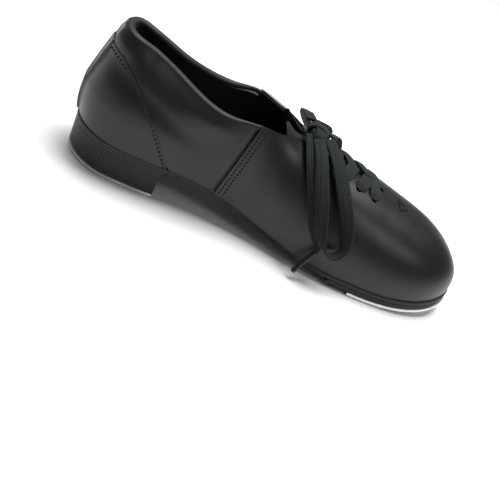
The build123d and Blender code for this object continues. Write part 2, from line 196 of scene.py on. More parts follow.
def seam_x(z):
    """Where the front edge of the quarters runs, from the sole up to the mouth."""
    bend = SEAM_TOP / 2 + 8
    low_slope = ((SEAM_TOP_X - SEAM_BOTTOM_X) / 2 + 0.5) / bend
    high_slope = ((SEAM_TOP_X - SEAM_BOTTOM_X) / 2 - 0.5) / (SEAM_TOP - bend)
    curve = (high_slope - low_slope) / SEAM_TOP
    return SEAM_BOTTOM_X + low_slope * z + curve * z * (z - bend)


def panel_top(x):
    """Height of the back panel's edge."""
    return np.interp(x, *zip(*PANEL_EDGE))


def at_plan(x, y):
    """The point of the closed surface over a place in plan view."""
    x, y = np.broadcast_arrays(np.asarray(x, float), np.asarray(y, float))
    width = np.where(y < 0, half_width(x, -1), half_width(x, 1))
    share = np.clip(np.abs(y) / np.maximum(width, 1e-6), 0, 0.999)
    z = bottom(x) + height(x) * np.sqrt(1 - share ** (2 / SHOULDER))
    return np.stack([x, y, z], -1)


def plan_normal(x, y, step=0.3):
    across = at_plan(x, y + step) - at_plan(x, y - step)
    along = at_plan(x + step, y) - at_plan(x - step, y)
    return unit(np.cross(along, across))


def over(x, y, lift):
    """A point at a height over the vamp, in plan view."""
    return at_plan(x, y) + plan_normal(x, y) * np.asarray(lift)[..., None]


# ---------------------------------------------------------------- meshes
materials = {}


def mesh_object(name, points, faces, material, uvs=None, sharp=0.6):
    """A mesh from millimetre points, smooth but for its sharp edges."""
    points = np.asarray(points, float).reshape(-1, 3) * MM + ORIGIN
    mesh = bpy.data.meshes.new(name)
    mesh.from_pydata(points.tolist(), [], [list(face) for face in faces])
    if uvs is not None:
        layer = mesh.uv_layers.new(name="UVMap")
        loops = np.zeros(len(mesh.loops), int)
        mesh.loops.foreach_get("vertex_index", loops)
        layer.data.foreach_set("uv", np.asarray(uvs, float).reshape(-1, 2)[loops].ravel())
    obj = bpy.data.objects.new(name, mesh)
    bpy.context.scene.collection.objects.link(obj)
    mesh.materials.append(materials[material])
    finish_mesh(mesh, sharp)
    return obj


def finish_mesh(mesh, sharp=0.6, weld=1e-6):
    work = bmesh.new()
    work.from_mesh(mesh)
    bmesh.ops.remove_doubles(work, verts=work.verts, dist=weld)
    bmesh.ops.dissolve_degenerate(work, edges=work.edges, dist=weld)
    bmesh.ops.recalc_face_normals(work, faces=work.faces)
    for face in work.faces:
        face.smooth = True
    for edge in work.edges:
        edge.smooth = edge.calc_face_angle(0.0) < sharp
    work.to_mesh(mesh)
    work.free()
    mesh.update()


def grid_faces(rows, columns, start=0, flip=False):
    index = np.arange(rows * columns).reshape(rows, columns) + start
    quads = np.stack([index[:-1, :-1], index[1:, :-1], index[1:, 1:], index[:-1, 1:]], -1)
    quads = quads.reshape(-1, 4)
    return quads[:, ::-1] if flip else quads


def around_faces(rings, count, base=0):
    """The sides of a tube whose points come ring by ring."""
    faces = []
    for k in range(rings - 1):
        low, high = base + k * count, base + (k + 1) * count
        for j in range(count):
            n = (j + 1) % count
            faces.append([low + j, low + n, high + n, high + j])
    return faces


def end_faces(rings, count, base=0):
    """The two closed ends of such a tube."""
    last = base + (rings - 1) * count
    return [list(range(base, base + count))[::-1], list(range(last, last + count))]


def slab_parts(outer, inner):
    """Vertices and faces of a sheet between two grids, with rims where it doesn't meet the other side's."""
    rows, columns = outer.shape[:2]
    count = rows * columns
    points = np.concatenate([outer.reshape(-1, 3), inner.reshape(-1, 3)])
    faces = [grid_faces(rows, columns), grid_faces(rows, columns, count, True)]
    index = np.arange(count).reshape(rows, columns)
    across = outer.reshape(-1, 3)[:, 1]
    for rim in (index[:, 0], index[0, :], index[-1, :], index[:, -1]):
        wall = np.stack([rim[:-1], rim[1:], rim[1:] + count, rim[:-1] + count], -1)
        met = np.abs(across[rim]) < 1e-9
        faces.append(wall[~(met[:-1] & met[1:])])
    return points, np.concatenate(faces)


def join_parts(parts):
    points, faces, offset = [], [], 0
    for vertices, quads in parts:
        points.append(vertices)
        faces.append(np.asarray(quads) + offset)
        offset += len(vertices)
    return np.concatenate(points), np.concatenate(faces)


def apply_cut(obj, cutters):
    """Cuts solids out of a mesh for good."""
    for number, cutter in enumerate(cutters):
        cut = obj.modifiers.new(f"cut{number}", "BOOLEAN")
        cut.operation = "DIFFERENCE"
        cut.solver = "EXACT"
        cut.object = cutter
    bpy.context.view_layer.update()
    evaluated = obj.evaluated_get(bpy.context.evaluated_depsgraph_get())
    mesh = bpy.data.meshes.new_from_object(evaluated)
    obj.modifiers.clear()
    obj.data = mesh
    for cutter in cutters:
        bpy.data.objects.remove(cutter)
    finish_mesh(mesh)
    return obj


def prism(name, loop, low, high):
    """A solid over a plan-view loop, between two heights."""
    count = len(loop)
    points = [(x, y, low) for x, y in loop] + [(x, y, high) for x, y in loop]
    faces = around_faces(2, count) + end_faces(2, count)
    return mesh_object(name, points, faces, "leather")


def ring(x, y, radius, count=32):
    turns = [2 * np.pi * k / count for k in range(count)]
    return [(x + radius * np.cos(turn), y + radius * np.sin(turn)) for turn in turns]


# ---------------------------------------------------------------- materials
def shader(name, colour, roughness, metallic=0.0, specular=0.5, sheen=0.0):
    material = bpy.data.materials.new(name)
    material.use_nodes = True
    node = material.node_tree.nodes["Principled BSDF"]
    node.inputs["Base Color"].default_value = (*colour, 1)
    node.inputs["Roughness"].default_value = roughness
    node.inputs["Metallic"].default_value = metallic
    node.inputs["Specular IOR Level"].default_value = specular
    node.inputs["Sheen Weight"].default_value = sheen
    materials[name] = material
    return material, material.node_tree.nodes, material.node_tree.links, node


def texture(nodes, links, kind, scale, source="Object", **settings):
    place = nodes.new("ShaderNodeTexCoord")
    found = nodes.new(kind)
    found.inputs["Scale"].default_value = scale
    for key, value in settings.items():
        found.inputs[key].default_value = value
    links.new(place.outputs[source], found.inputs["Vector"])
    return found


def bump(nodes, links, node, height_socket, strength, distance, before=None):
    made = nodes.new("ShaderNodeBump")
    made.inputs["Strength"].default_value = strength
    made.inputs["Distance"].default_value = distance
    links.new(height_socket, made.inputs["Height"])
    if before is not None:
        links.new(before.outputs["Normal"], made.inputs["Normal"])
    links.new(made.outputs["Normal"], node.inputs["Normal"])
    return made


def spread(nodes, links, source, low, high, socket):
    """A texture's value, from 0 to 1, mapped on to a shader value's range."""
    mapped = nodes.new("ShaderNodeMapRange")
    mapped.inputs["To Min"].default_value = low
    mapped.inputs["To Max"].default_value = high
    links.new(source, mapped.inputs["Value"])
    links.new(mapped.outputs["Result"], socket)


def make_leather(name, colour, roughness):
    _, nodes, links, node = shader(name, colour, roughness)
    pores = texture(nodes, links, "ShaderNodeTexVoronoi", 1500.0)
    cloud = texture(nodes, links, "ShaderNodeTexNoise", 70.0, Detail=4.0)
    first = bump(nodes, links, node, pores.outputs["Distance"], 0.10, 0.0002)
    bump(nodes, links, node, cloud.outputs["Fac"], 0.12, 0.0012, first)
    spread(nodes, links, cloud.outputs["Fac"], roughness - 0.07, roughness + 0.08, node.inputs["Roughness"])


def make_fabric(name, colour, roughness, scale):
    _, nodes, links, node = shader(name, colour, roughness, specular=0.2, sheen=0.15)
    weave = texture(nodes, links, "ShaderNodeTexNoise", scale, Detail=3.0)
    bump(nodes, links, node, weave.outputs["Fac"], 0.5, 0.0004)


def make_plain(name, colour, roughness, metallic, scale, depth):
    _, nodes, links, node = shader(name, colour, roughness, metallic)
    grain = texture(nodes, links, "ShaderNodeTexNoise", scale, Detail=4.0)
    bump(nodes, links, node, grain.outputs["Fac"], 0.25, depth)
    spread(nodes, links, grain.outputs["Fac"], roughness - 0.06, roughness + 0.06, node.inputs["Roughness"])


def make_lace():
    """A woven lace: ribs along it, and fine diagonal threads across them."""
    _, nodes, links, node = shader("lace_cotton", (0.011, 0.015, 0.0148), 0.8, specular=0.25, sheen=0.05)
    ribs = texture(nodes, links, "ShaderNodeTexWave", 0.22, "UV", Distortion=0.0)
    ribs.bands_direction = "Y"
    threads = texture(nodes, links, "ShaderNodeTexWave", 0.42, "UV", Distortion=0.8)
    threads.bands_direction = "DIAGONAL"
    first = bump(nodes, links, node, ribs.outputs["Fac"], 0.6, 0.0006)
    bump(nodes, links, node, threads.outputs["Fac"], 0.6, 0.0005, first)


make_leather("leather", (0.005, 0.005, 0.0053), 0.37)
make_leather("binding_leather", (0.003, 0.003, 0.0032), 0.62)
make_fabric("lining_fabric", (0.006, 0.006, 0.0065), 0.95, 2600.0)
make_fabric("thread", (0.003, 0.003, 0.003), 0.7, 4000.0)
make_plain("foam", (0.08, 0.08, 0.08), 0.9, 0.0, 900.0, 0.0003)
make_plain("stiffener_board", (0.30, 0.24, 0.16), 0.85, 0.0, 500.0, 0.0003)
make_plain("insole_fibre", (0.40, 0.30, 0.18), 0.85, 0.0, 500.0, 0.0003)
make_plain("sole_rubber", (0.006, 0.006, 0.0062), 0.6, 0.0, 1200.0, 0.0002)
make_plain("heel_stack", (0.007, 0.007, 0.0073), 0.5, 0.0, 300.0, 0.0004)
make_plain("tap_alloy", (0.80, 0.81, 0.82), 0.32, 1.0, 400.0, 0.0001)
make_plain("steel", (0.55, 0.55, 0.56), 0.3, 1.0, 400.0, 0.0001)
make_plain("aglet_plastic", (0.012, 0.012, 0.012), 0.25, 0.0, 300.0, 0.0001)
make_lace()


def flex(obj):
    """Bakes the object's placement into its mesh, without bending it."""
    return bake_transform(obj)


def layered(x, angle, side, lift, depth):
    """Outer and inner grids of a layer whose outer face is lifted from the closed surface."""
    face = surface(x, angle, side)
    out = normals(x, angle, side)
    return face + out * lift[..., None], face + out * (lift - depth)[..., None]


def collar_lean(points, x, top, side):
    """The padded collar, rolled in towards the heel's opening over its top few centimetres."""
    share = ease(points[..., 2], top - 20, top) * ease(x, 6, 28) * (1 - ease(x, 34, 84))
    moved = points.copy()
    moved[..., 1] -= side * COLLAR_LEAN * share
    return moved


def rolled(sheet, x, side):
    """Both faces of a sheet, rolled in with the collar."""
    return [collar_lean(points, x, mouth_height(x), side) for points in sheet]


def collar_swell(x, z, top):
    """How far the padding pushes the quarter out, in a band below the mouth."""
    below = top - z
    pad = np.exp(-(((below - 9) / 7) ** 2)) * (1 - ease(x, 70, 100))
    dent = np.exp(-(((below - 24) / 6) ** 2)) * (1 - ease(x, 60, 95)) * ease(x, 3, 20)
    return 1.8 * pad - 0.6 * dent


def side_swell(x, z):
    """The same, below whichever is lower of the mouth and the ridge."""
    return collar_swell(x, z, np.minimum(top_line(x), bottom(x) + height(x)))


def quarter_grid(side, drop, start=0.05, rows=300, columns=70, overlap=7.0):
    """A layer of one quarter, from the back seam to under the vamp's edge."""
    v = np.linspace(0, 1, columns)[None, :]
    s = np.linspace(0, 1, rows)[:, None]
    x = np.full((rows, columns), 100.0)
    for _ in range(6):
        top = edge_angle(x, side)
        rise = height(x) * np.sin(top)
        cut = np.where(top > np.pi / 2 - 1e-6, 0.0, drop)
        top = np.arcsin(np.clip((rise - cut) / np.maximum(height(x), 1e-6), 0, 1))
        z = bottom(x) + height(x) * np.sin(v * top)
        limit = seam_x(z) + overlap * ease(SEAM_TOP - z, 0, 6)
        x = start + (limit - start) * (1 - np.cos(np.pi * s / 2))
    z = bottom(x) + height(x) * np.sin(v * top)
    under = -1.0 * ease(x, seam_x(z) - 5, seam_x(z))
    return x, v * top, side_swell(x, z), under


def make_quarters():
    for side, word in zip(SIDES, ("inner", "outer")):
        x, angle, swell, under = quarter_grid(side, 1.6)
        sheet = layered(x, angle, side, swell + under, np.full_like(x, LEATHER))
        quarter = mesh_object(f"leather_quarter_{word}", *slab_parts(*rolled(sheet, x, side)), "leather")
        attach(quarter, "rear_shoe")
        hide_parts(f"quarter_{word}")


def make_padding_and_lining():
    """The quarters' foam and their lining, each one piece round the heel."""
    for name, node, material, low, high in (
        ("collar_pad", "collar_padding", "foam", LEATHER + 0.1, LEATHER + FOAM - 0.1),
        ("heel_lining", "quarter_lining", "lining_fabric", LEATHER + FOAM, WALL),
    ):
        parts = []
        for side in SIDES:
            x, angle, swell, _ = quarter_grid(side, 2.2, 1.2, 140, 40, 1.0)
            lift = (swell if node == "collar_padding" else 0 * swell) - low
            sheet = layered(x, angle, side, lift, lift + high)
            parts.append(slab_parts(*rolled(sheet, x, side)))
        layer = mesh_object(name, *join_parts(parts), material)
        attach(layer, "rear_shoe")
        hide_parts(node)


def panel_grid(rows=170, columns=60):
    v = np.linspace(0, 1, columns)[None, :]
    s = np.linspace(0, 1, rows)[:, None]
    x = np.broadcast_to(0.05 + 65.6 * (1 - np.cos(np.pi * s / 2)), (rows, columns))
    edge = panel_top(x + back_shift(x, panel_top(x)))
    top = np.arcsin(np.clip((edge - bottom(x)) / np.maximum(height(x), 1e-6), 0, 1))
    return x, v * top


def make_heel_cover():
    """The back panel, over the quarters."""
    parts = []
    x, angle = panel_grid()
    swell = side_swell(x, bottom(x) + height(x) * np.sin(angle))
    for side in SIDES:
        sheet = layered(x, angle, side, swell + PANEL_LIFT, np.full_like(x, 1.0))
        parts.append(slab_parts(*rolled(sheet, x, side)))
    panel = mesh_object("heel_cover", *join_parts(parts), "leather")
    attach(panel, "rear_shoe")
    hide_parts("back_panel")


def vamp_grid(side, rows, columns):
    v = np.linspace(0, 1, columns)[None, :]
    s = np.linspace(0, 1, rows)[:, None]
    share = np.sin(np.pi * s / 2)
    x = np.full((rows, columns), 120.0)
    for _ in range(8):
        top = edge_angle(x, side)
        z = bottom(x) + height(x) * np.sin(v * top)
        first = np.minimum(seam_x(z), SEAM_TOP_X)
        x = first + (LENGTH - 0.02 - first) * share
    return x, v * top, first


def vamp_layer(low, thickness, rows=420, columns=90, lift=True):
    """A layer of the vamp, whose back edge rises over the quarters."""
    parts = []
    for side in SIDES:
        x, angle, first = vamp_grid(side, rows, columns)
        rise = SEAM_LIFT * (1 - ease(x - first, 0, 16)) * lift - low
        near = np.minimum(1, (LENGTH - x) / 4)
        outer, inner = layered(x, angle, side, rise * np.ones_like(x), thickness * near)
        parts.append(slab_parts(outer, inner))
    return join_parts(parts)


def make_vamp():
    vamp = mesh_object("leather_vamp", *vamp_layer(0.0, LEATHER), "leather")
    low, high = 35, 110
    back_x = THROAT_X - 4
    slit_loop = [
        (back_x, -SLIT_HALF), (SLIT_END_X, -SLIT_HALF), (SLIT_END_X, SLIT_HALF), (back_x, SLIT_HALF),
    ]
    cutters = [
        prism("slit_cut", slit_loop, low, high),
        prism("slit_end_cut", ring(SLIT_END_X + 0.6, 0, SLIT_HOLE), low, high),
    ]
    for row_x in ROW_PLACES:
        for side in SIDES:
            hole = ring(row_x, side * HOLE_Y, 2.0)
            cutters.append(prism(f"hole_{row_x:.0f}_{side}", hole, low, high))
    apply_cut(vamp, cutters)
    flex(vamp)
    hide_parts("vamp")


def make_front_lining():
    layer = vamp_layer(LEATHER + STIFFENER, LINING, 150, 40, False)
    front_lining = mesh_object("front_lining", *layer, "lining_fabric")
    flex(front_lining)
    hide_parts("vamp_lining")


def plan_sheet(name, x0, x1, y0, y1, low, high, material, rows=90, columns=50):
    """A layer under the vamp over a rectangle in plan view, between two depths."""
    x = np.linspace(x0, x1, rows)[:, None] + np.zeros((1, columns))
    y = np.linspace(y0, y1, columns)[None, :] + np.zeros((rows, 1))
    outer = over(x, y, np.full_like(x, -low))
    inner = over(x, y, np.full_like(x, -high))
    return mesh_object(name, *slab_parts(outer, inner), material)


def make_tongue_and_backing():
    depth = VAMP_WALL + 2.1
    tongue = plan_sheet("fabric_tongue", 126, 205, -20, 20, depth, depth + 2.0, "lining_fabric")
    parts = []
    for side in SIDES:
        x = np.linspace(121, 205, 80)[:, None] + np.zeros((1, 24))
        inner_y = np.maximum(1.6, 24 * np.clip((THROAT_X + 4 - x) / 34, 0, 1))
        y = side * (inner_y + (26 - inner_y) * np.linspace(0, 1, 24)[None, :])
        parts.append(slab_parts(over(x, y, np.full_like(x, -1.45)), over(x, y, np.full_like(x, -2.15))))
    backing = mesh_object("hole_backing", *join_parts(parts), "lining_fabric")
    for obj, node in ((tongue, "tongue"), (backing, "eyelet_backing")):
        flex(obj)
        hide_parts(node)


def even(points, count):
    """Points spread evenly along a line."""
    steps = np.linalg.norm(np.diff(points, axis=0), axis=1)
    run = np.concatenate([[0], np.cumsum(steps)])
    wanted = np.linspace(0, run[-1], count)
    return np.stack([np.interp(wanted, run, points[:, k]) for k in range(points.shape[1])], -1)


def tube(points, across, up, profile):
    """A profile (across, up) swept along a line, with its ends closed."""
    count = len(profile)
    rows = [points + across * a[..., None] + up * b[..., None] for a, b in profile]
    vertices = np.stack(rows, 1).reshape(-1, 3)
    return vertices, around_faces(len(points), count) + end_faces(len(points), count)


def back_of_mouth():
    """The station where the mouth crosses the ridge at the back of the heel, found by halving."""
    low, high = 0.5, 10.0
    for _ in range(40):
        middle = (low + high) / 2
        if bottom(middle) + height(middle) > mouth_height(middle):
            high = middle
        else:
            low = middle
    return middle


def rim_line(count):
    """The mouth's edge, from the inner throat round the heel to the outer throat."""
    back_x = back_of_mouth()
    lines = []
    for side in SIDES:
        s = np.linspace(0, 1, 400)
        x = back_x + 1e-4 + (SEAM_TOP_X + 0.6 - back_x) * s**2.8
        edge = surface(x, np.minimum(edge_angle(x, side), np.pi / 2), side)
        lines.append(collar_lean(edge, x, top_line(edge[:, 0]), side))
    return even(np.concatenate([lines[0][::-1], lines[1]]), count)


def make_binding():
    """A roll of leather over the mouth's edge, narrower at the throat."""
    count = 420
    rim = rim_line(count)
    tangent = unit(np.gradient(rim, axis=0))
    out = np.cross(np.array([0, 0, 1.0]), tangent)
    out[:, 2] = 0
    out = np.stack([smoothed(out[:, k]) for k in range(3)], -1)
    if out[count // 2, 0] > 0:
        out = -out
    out = unit(out)
    upward = np.cross(tangent, out)
    upward *= np.sign(upward[:, 2:3])
    ends = np.minimum(np.arange(count), np.arange(count)[::-1]) / 60
    pinch = 0.45 + 0.55 * ease(ends, 0, 1)
    steady = np.ones(count)
    profile = [(0.15 * steady, -3.6 * steady), (0.45 * steady, -3.2 * steady)]
    for turn in np.linspace(0, np.pi, 11):
        profile.append(((-2.4 + 2.85 * np.cos(turn)) * pinch, (-2.3 + 2.1 * np.sin(turn)) * steady))
    profile.append((-5.2 * pinch, -3.6 * steady))
    swollen = rim + collar_swell(rim[:, 0], rim[:, 2] - 2.0, rim[:, 2])[:, None] * out
    roll = tube(swollen, out, upward, profile)
    binding = mesh_object("collar_binding", *roll, "binding_leather", sharp=1.2)
    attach(binding, "rear_shoe")
    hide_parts("topline_binding")


make_quarters()
make_padding_and_lining()
make_heel_cover()
make_vamp()
make_front_lining()
make_tongue_and_backing()
make_binding()


# ---------------------------------------------------------------- stitching
def stitches(name, lines, length=2.0, gap=0.9, radius=0.38, body="rear_shoe"):
    """Short threads laid end to end along lines of points with outward directions."""
    vertices, faces = [], []
    sides, pitch = 8, 0.1
    for line in lines:
        total = np.linalg.norm(np.diff(line[:, :3], axis=0), axis=1).sum()
        fine = even(line, max(3, int(total / pitch)))
        start, count = 0, len(fine)
        step, skip = int(length / pitch), int(gap / pitch)
        while start + step < count:
            picked = fine[start : start + step + 1 : max(1, step // 6)]
            run = unit(np.gradient(picked[:, :3], axis=0))
            normal = unit(picked[:, 3:])
            across = np.cross(run, normal)
            base = len(vertices)
            for k, place in enumerate(picked):
                share = k / (len(picked) - 1)
                arch = np.sin(np.pi * share)
                thick = radius * (0.35 + 0.65 * arch**0.5)
                for j in range(sides):
                    turn = 2 * np.pi * j / sides
                    vertices.append(
                        place[:3]
                        + across[k] * thick * np.cos(turn)
                        + normal[k] * (thick * np.sin(turn) + radius * (arch - 0.5))
                    )
            faces += around_faces(len(picked), sides, base) + end_faces(len(picked), sides, base)
            start += step + skip
    obj = mesh_object(name, vertices, faces, "thread")
    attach(obj, body)


def surface_line(x, angle, side, lift):
    out = normals(x, angle, side)
    return np.concatenate([surface(x, angle, side) + out * np.asarray(lift)[..., None], out], -1)


def seam_line(side, offset, count=200):
    """A row of stitches on the vamp, at a distance from its back edge."""
    share = np.linspace(0.02, 1, count)
    x = np.full(count, 100.0)
    for _ in range(6):
        top = edge_angle(x, side)
        z = bottom(x) + height(x) * np.sin(share * top)
        x = seam_x(z) + offset
    lift = np.full(count, SEAM_LIFT * (1 - ease(offset, 0, 16)))
    return surface_line(x, share * top, side, lift)[:-3]


def panel_line(side):
    """The row of stitches along the back panel's edge."""
    x = 2.2 + 63 * (1 - np.cos(np.linspace(0.0, np.pi / 2, 300)))
    edge = panel_top(x + back_shift(x, panel_top(x))) - 2.4
    angle = np.arcsin(np.clip((edge - bottom(x)) / height(x), 0, 1))
    z = bottom(x) + height(x) * np.sin(angle)
    line = surface_line(x, angle, side, collar_swell(x, z, top_line(x)) + PANEL_LIFT)
    line[:, :3] = collar_lean(line[:, :3], x, mouth_height(x), side)
    return line


def tack_lines():
    """The small triangle sewn on the vamp ahead of the slit."""
    corners = [(212.0, -9.5), (212.0, 3.5), (219.5, -3.0), (212.0, -9.5)]
    lines = []
    for start, end in zip(corners, corners[1:]):
        x = np.linspace(start[0], end[0], 40)
        y = np.linspace(start[1], end[1], 40)
        lines.append(np.concatenate([at_plan(x, y), plan_normal(x, y)], -1))
    return lines


stitches("seam_stitches", [seam_line(side, offset) for side in SIDES for offset in (2.2, 5.0)], 1.9, 0.7, 0.5)
stitches("panel_stitches", [panel_line(side) for side in SIDES], 1.7, 1.2, 0.65)
stitches("tack_stitches", tack_lines(), 1.4, 0.1, 0.55, "forefoot")


# ---------------------------------------------------------------- the bottom
def outline(grow, x0, x1, count, trim=0.0):
    """Plan-view places along the inner side, heel to toe, and along the outer side."""
    share = 0.5 - 0.5 * np.cos(np.pi * np.linspace(0, 1, count))
    x = np.clip(x0 + (x1 - x0) * share, 0.02, LENGTH - 0.02)
    middle = LENGTH / 2
    moved = middle + (x - middle) * (1 + 2 * grow / LENGTH) + back_shift(x, SEAT_Z)
    if x0 > 0:
        moved[0] = x0
    if x1 < LENGTH:
        moved[-1] = x1
    margin = grow - trim * ease(x, BREAST_X, BREAST_X + 20) * (1 - ease(x, 148, 174))
    widths = [np.maximum(half_width(x, side) + margin, 0.35 * half_width(x, side)) for side in SIDES]
    return x, moved, widths


def stack(name, rings, x0, x1, material, count=240, trim=0.0):
    """A layer of the bottom from rings of (growth, height), a height being a number or a function."""
    vertices = []
    for grow, level in rings:
        x, moved, widths = outline(grow, x0, x1, count, trim)
        z = level(x) if callable(level) else np.full_like(x, level)
        near = np.stack([moved, -widths[0], z], -1)
        far = np.stack([moved, widths[1], z], -1)
        vertices.append(np.concatenate([near, far[::-1]]))
    loop = 2 * count
    faces = around_faces(len(rings), loop)
    last = (len(rings) - 1) * loop
    for base, flip in ((0, True), (last, False)):
        for j in range(count - 1):
            quad = [base + j, base + j + 1, base + loop - 2 - j, base + loop - 1 - j]
            faces.append(quad[::-1] if flip else quad)
    return mesh_object(name, np.concatenate(vertices), faces, material)


def over_bottom(offset):
    return lambda x: bottom(x) + offset


def soft_rings(low, high, grow, bevel):
    return [
        (grow - bevel, over_bottom(low)),
        (grow - 0.3 * bevel, over_bottom(low + 0.3 * bevel)),
        (grow, over_bottom(low + bevel)),
        (grow, over_bottom(high - bevel)),
        (grow - 0.3 * bevel, over_bottom(high - 0.3 * bevel)),
        (grow - bevel, over_bottom(high)),
    ]


def make_bottom():
    """The layers under the foot, from the sock down to the outsole."""
    whole = (0, LENGTH)
    sole_rings = soft_rings(-SOLE, 0, SOLE_EDGE, 0.45)
    sole = stack("sole_layer", sole_rings, *whole, "sole_rubber", trim=WAIST_TRIM)
    board_rings = soft_rings(LEATHER, LEATHER + BOARD, -LEATHER, 0.2)
    board = stack("fibre_board", board_rings, *whole, "insole_fibre")
    sock_low = LEATHER + BOARD
    sock_rings = soft_rings(sock_low, sock_low + SOCK, -WALL - 0.3, 0.8)
    sock = stack("sock_layer", sock_rings, *whole, "lining_fabric")
    filler = stack("filler_layer", soft_rings(0.1, LEATHER - 0.1, -14, 0.2), *whole, "insole_fibre")
    lasted = stack("lasted_margin", soft_rings(0, LEATHER, -0.5, 0.4), *whole, "leather")
    flex(lasted)
    for obj, node, slot_name in (
        (sole, "outsole", "sole_rubber"),
        (board, "insole_board", "insole_fibre"),
        (sock, "sock_liner", "lining_fabric"),
        (filler, "bottom_filler", "insole_fibre"),
    ):
        flex(obj)
        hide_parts(node)


def heel_reach(z):
    """How far the heel stands past the upper, less towards the floor."""
    return SOLE_EDGE - 2.5 * (1 - z / SEAT_Z)


def heel_rings(low, high, bevel, more=0.0):
    return [
        (heel_reach(low) + more - bevel, low),
        (heel_reach(low) + more, low + bevel),
        (heel_reach(high) + more, high - bevel),
        (heel_reach(high) + more - bevel, high),
    ]


def heel_block(layers=9, groove=0.28):
    """The stacked heel, with a groove between its layers, its top following the sole."""
    low, high = TAP + HEEL_LIFT, SEAT_Z - SOLE
    rings = []
    for layer in range(layers):
        z0 = low + (high - low) * layer / layers
        z1 = low + (high - low) * (layer + 1) / layers
        for grow, z in ((-groove, z0), (0.0, z0 + groove), (0.0, z1 - groove), (-groove, z1 - 0.01)):
            share = (z - low) / (high - low)
            rings.append(
                (heel_reach(z) + grow, lambda x, share=share: low + share * (bottom(x) - SOLE - low))
            )
    return stack("stacked_block", rings, 0, BREAST_X, "heel_stack", 160)


def screw_cutter(name, x, y, low, length):
    """A countersunk screw's room, from its head at the floor up to its shank."""
    profile = [(3.35, low - 0.5), (3.3, low), (1.6, low + 1.75), (1.6, low + length)]
    count = 24
    points = []
    for radius, z in profile:
        points += [(px, py, z) for px, py in ring(x, y, radius, count)]
    faces = around_faces(len(profile), count) + end_faces(len(profile), count)
    return mesh_object(name, points, faces, "steel")


def make_boards_and_heel():
    """The toe board, both taps and the heel."""
    board_rings = soft_rings(-SOLE - TOE_BOARD, -SOLE, SOLE_EDGE, 0.35)
    front_board = stack("forefoot_board", board_rings, 184, LENGTH, "sole_rubber")
    front_rings = soft_rings(-BALL_Z, -BALL_Z + TAP, 1.5, 0.5)
    front_tap = stack("forefoot_tap", front_rings, 200, LENGTH, "tap_alloy")
    heel_tap = stack("rear_tap", heel_rings(0, TAP, 0.45, 0.35), 0, BREAST_X, "tap_alloy")
    lift = stack("rear_lift", heel_rings(TAP, TAP + HEEL_LIFT, 0.25), 0, BREAST_X, "heel_stack")
    block = heel_block()
    for tap, places, base in (
        (heel_tap, ((12, 0), (48, -18), (48, 18)), lambda x: 0.0),
        (front_tap, ((209, -25), (209, 30), (258, 0)), over_bottom(-BALL_Z)),
    ):
        apply_cut(tap, [screw_cutter(f"cut_{x}_{y}", x, y, float(base(x)), 3) for x, y in places])
    for obj, node, slot_name, body in (
        (front_board, "toe_board", "sole_rubber", "forefoot"),
        (front_tap, "toe_tap", "tap_alloy", "forefoot"),
        (heel_tap, "heel_tap", "tap_alloy", "rear_shoe"),
        (lift, "heel_lift", "heel_stack", "rear_shoe"),
        (block, "heel_block", "heel_stack", "rear_shoe"),
    ):
        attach(obj, body)
        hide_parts(node)


make_bottom()
make_boards_and_heel()


# ---------------------------------------------------------------- laces
def strap(points, width_axis, widths, thickness=LACE_THICKNESS, ribs=6):
    """Vertices, faces and UVs of a woven lace along points, its width along an axis at each."""
    points = np.asarray(points, float)
    run = unit(np.gradient(points, axis=0))
    axis = unit(width_axis - run * np.sum(width_axis * run, axis=1, keepdims=True))
    face = np.cross(run, axis)
    around = 60
    turn = np.linspace(0, 2 * np.pi, around, endpoint=False)
    side = np.cos(turn)
    across = np.sign(side) * np.abs(side) ** 0.55
    top = np.sign(np.sin(turn)) * np.abs(np.sin(turn)) ** 0.6
    half = widths[:, None] / 2
    shallow = np.minimum(1, 2 * half / LACE_WIDTH) ** 3
    ribbed = 1 - 0.4 * (1 - np.abs(np.cos(np.pi * ribs * across / 2))) * shallow
    squeeze = (LACE_WIDTH / widths)[:, None] ** 0.6
    vertices = (
        points[:, None, :]
        + axis[:, None, :] * (half * across)[..., None]
        + face[:, None, :] * (thickness / 2 * np.minimum(squeeze, 1.5) * top * ribbed)[..., None]
    )
    length = np.concatenate([[0], np.cumsum(np.linalg.norm(np.diff(points, axis=0), axis=1))])
    uvs = np.stack(np.broadcast_arrays(length[:, None], 0.5 * LACE_WIDTH * across[None, :]), -1)
    faces = around_faces(len(points), around) + end_faces(len(points), around)
    return vertices.reshape(-1, 3), faces, uvs.reshape(-1, 2)


def join_straps(name, straps):
    vertices, faces, uvs, offset = [], [], [], 0
    for points, quads, places in straps:
        vertices.append(points)
        uvs.append(places)
        faces += [[offset + k for k in face] for face in quads]
        offset += len(points)
    points, uvs = np.concatenate(vertices), np.concatenate(uvs)
    obj = mesh_object(name, points, faces, "lace_cotton", uvs, sharp=1.3)
    return obj


def laid(start, end, bow, lifts, tuck_start, tuck_end):
    """A lace across the vamp in plan view, tucking down at its ends."""
    count = 48
    s = np.linspace(0, 1, count)
    x = start[0] + (end[0] - start[0]) * s + bow * np.sin(np.pi * s)
    y = start[1] + (end[1] - start[1]) * s
    length = float(np.hypot(end[0] - start[0], end[1] - start[1]))
    first, final = s * length, (1 - s) * length
    lift = np.interp(s, [0, 0.5, 1], lifts)
    lift = lift - tuck_start * (1 - ease(first, 0, 4.0)) - tuck_end * (1 - ease(final, 0, 4.0))
    points = over(x, y, lift)
    out = plan_normal(x, y)
    run = np.gradient(points, axis=0)
    round_end = 1 - np.clip(np.minimum(first, final) / 3.4, 0, 1)
    widths = LACE_WIDTH * np.maximum(0.3, np.sqrt(1 - round_end**2))
    return strap(points, np.cross(out, run), widths)


